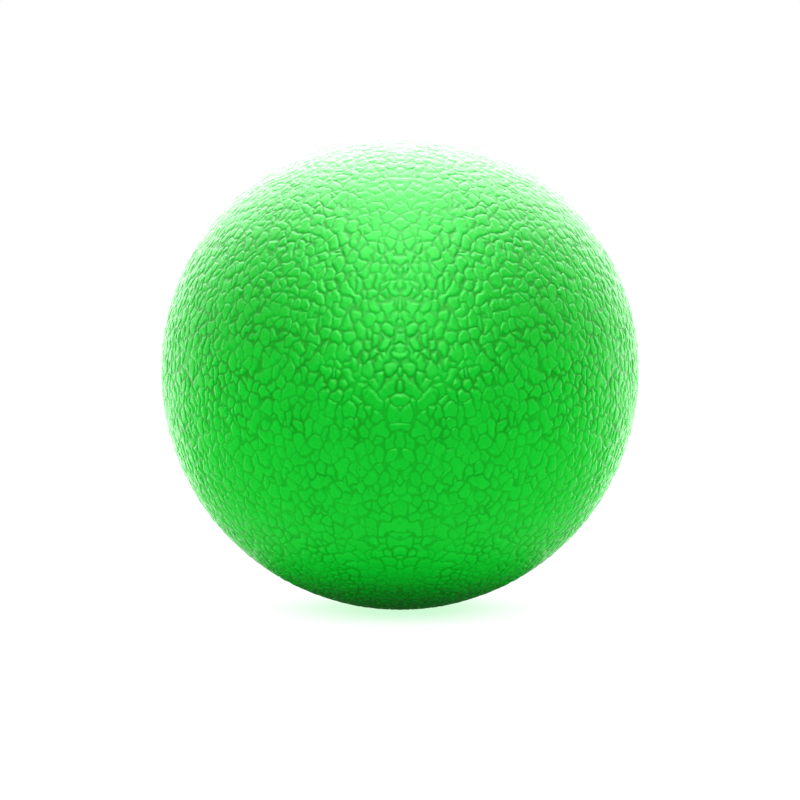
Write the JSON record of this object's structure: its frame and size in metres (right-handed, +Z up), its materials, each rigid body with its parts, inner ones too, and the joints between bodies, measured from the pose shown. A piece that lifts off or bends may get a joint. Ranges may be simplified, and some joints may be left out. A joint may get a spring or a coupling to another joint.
{
  "type": "massage ball",
  "caption": "Firm round massage ball with a pebble-grained rubber cover over a solid core, for rolling out muscles.",
  "frame": {"origin": "the ball's centre", "axes": "+Z up; +X points out of the right half of the cover, so the joint between the halves is the plane x = 0, and the camera looks along +Y"},
  "size_m": [0.063, 0.063, 0.063],
  "materials": {
    "cover_rubber": "semi-matt moulded rubber with a pebbled leather grain",
    "core_rubber": "matt, as moulded"
  },
  "bodies": {
    "root": {"core": "core_rubber", "cover_left": "cover_rubber", "cover_right": "cover_rubber"}
  },
  "joints": []
}
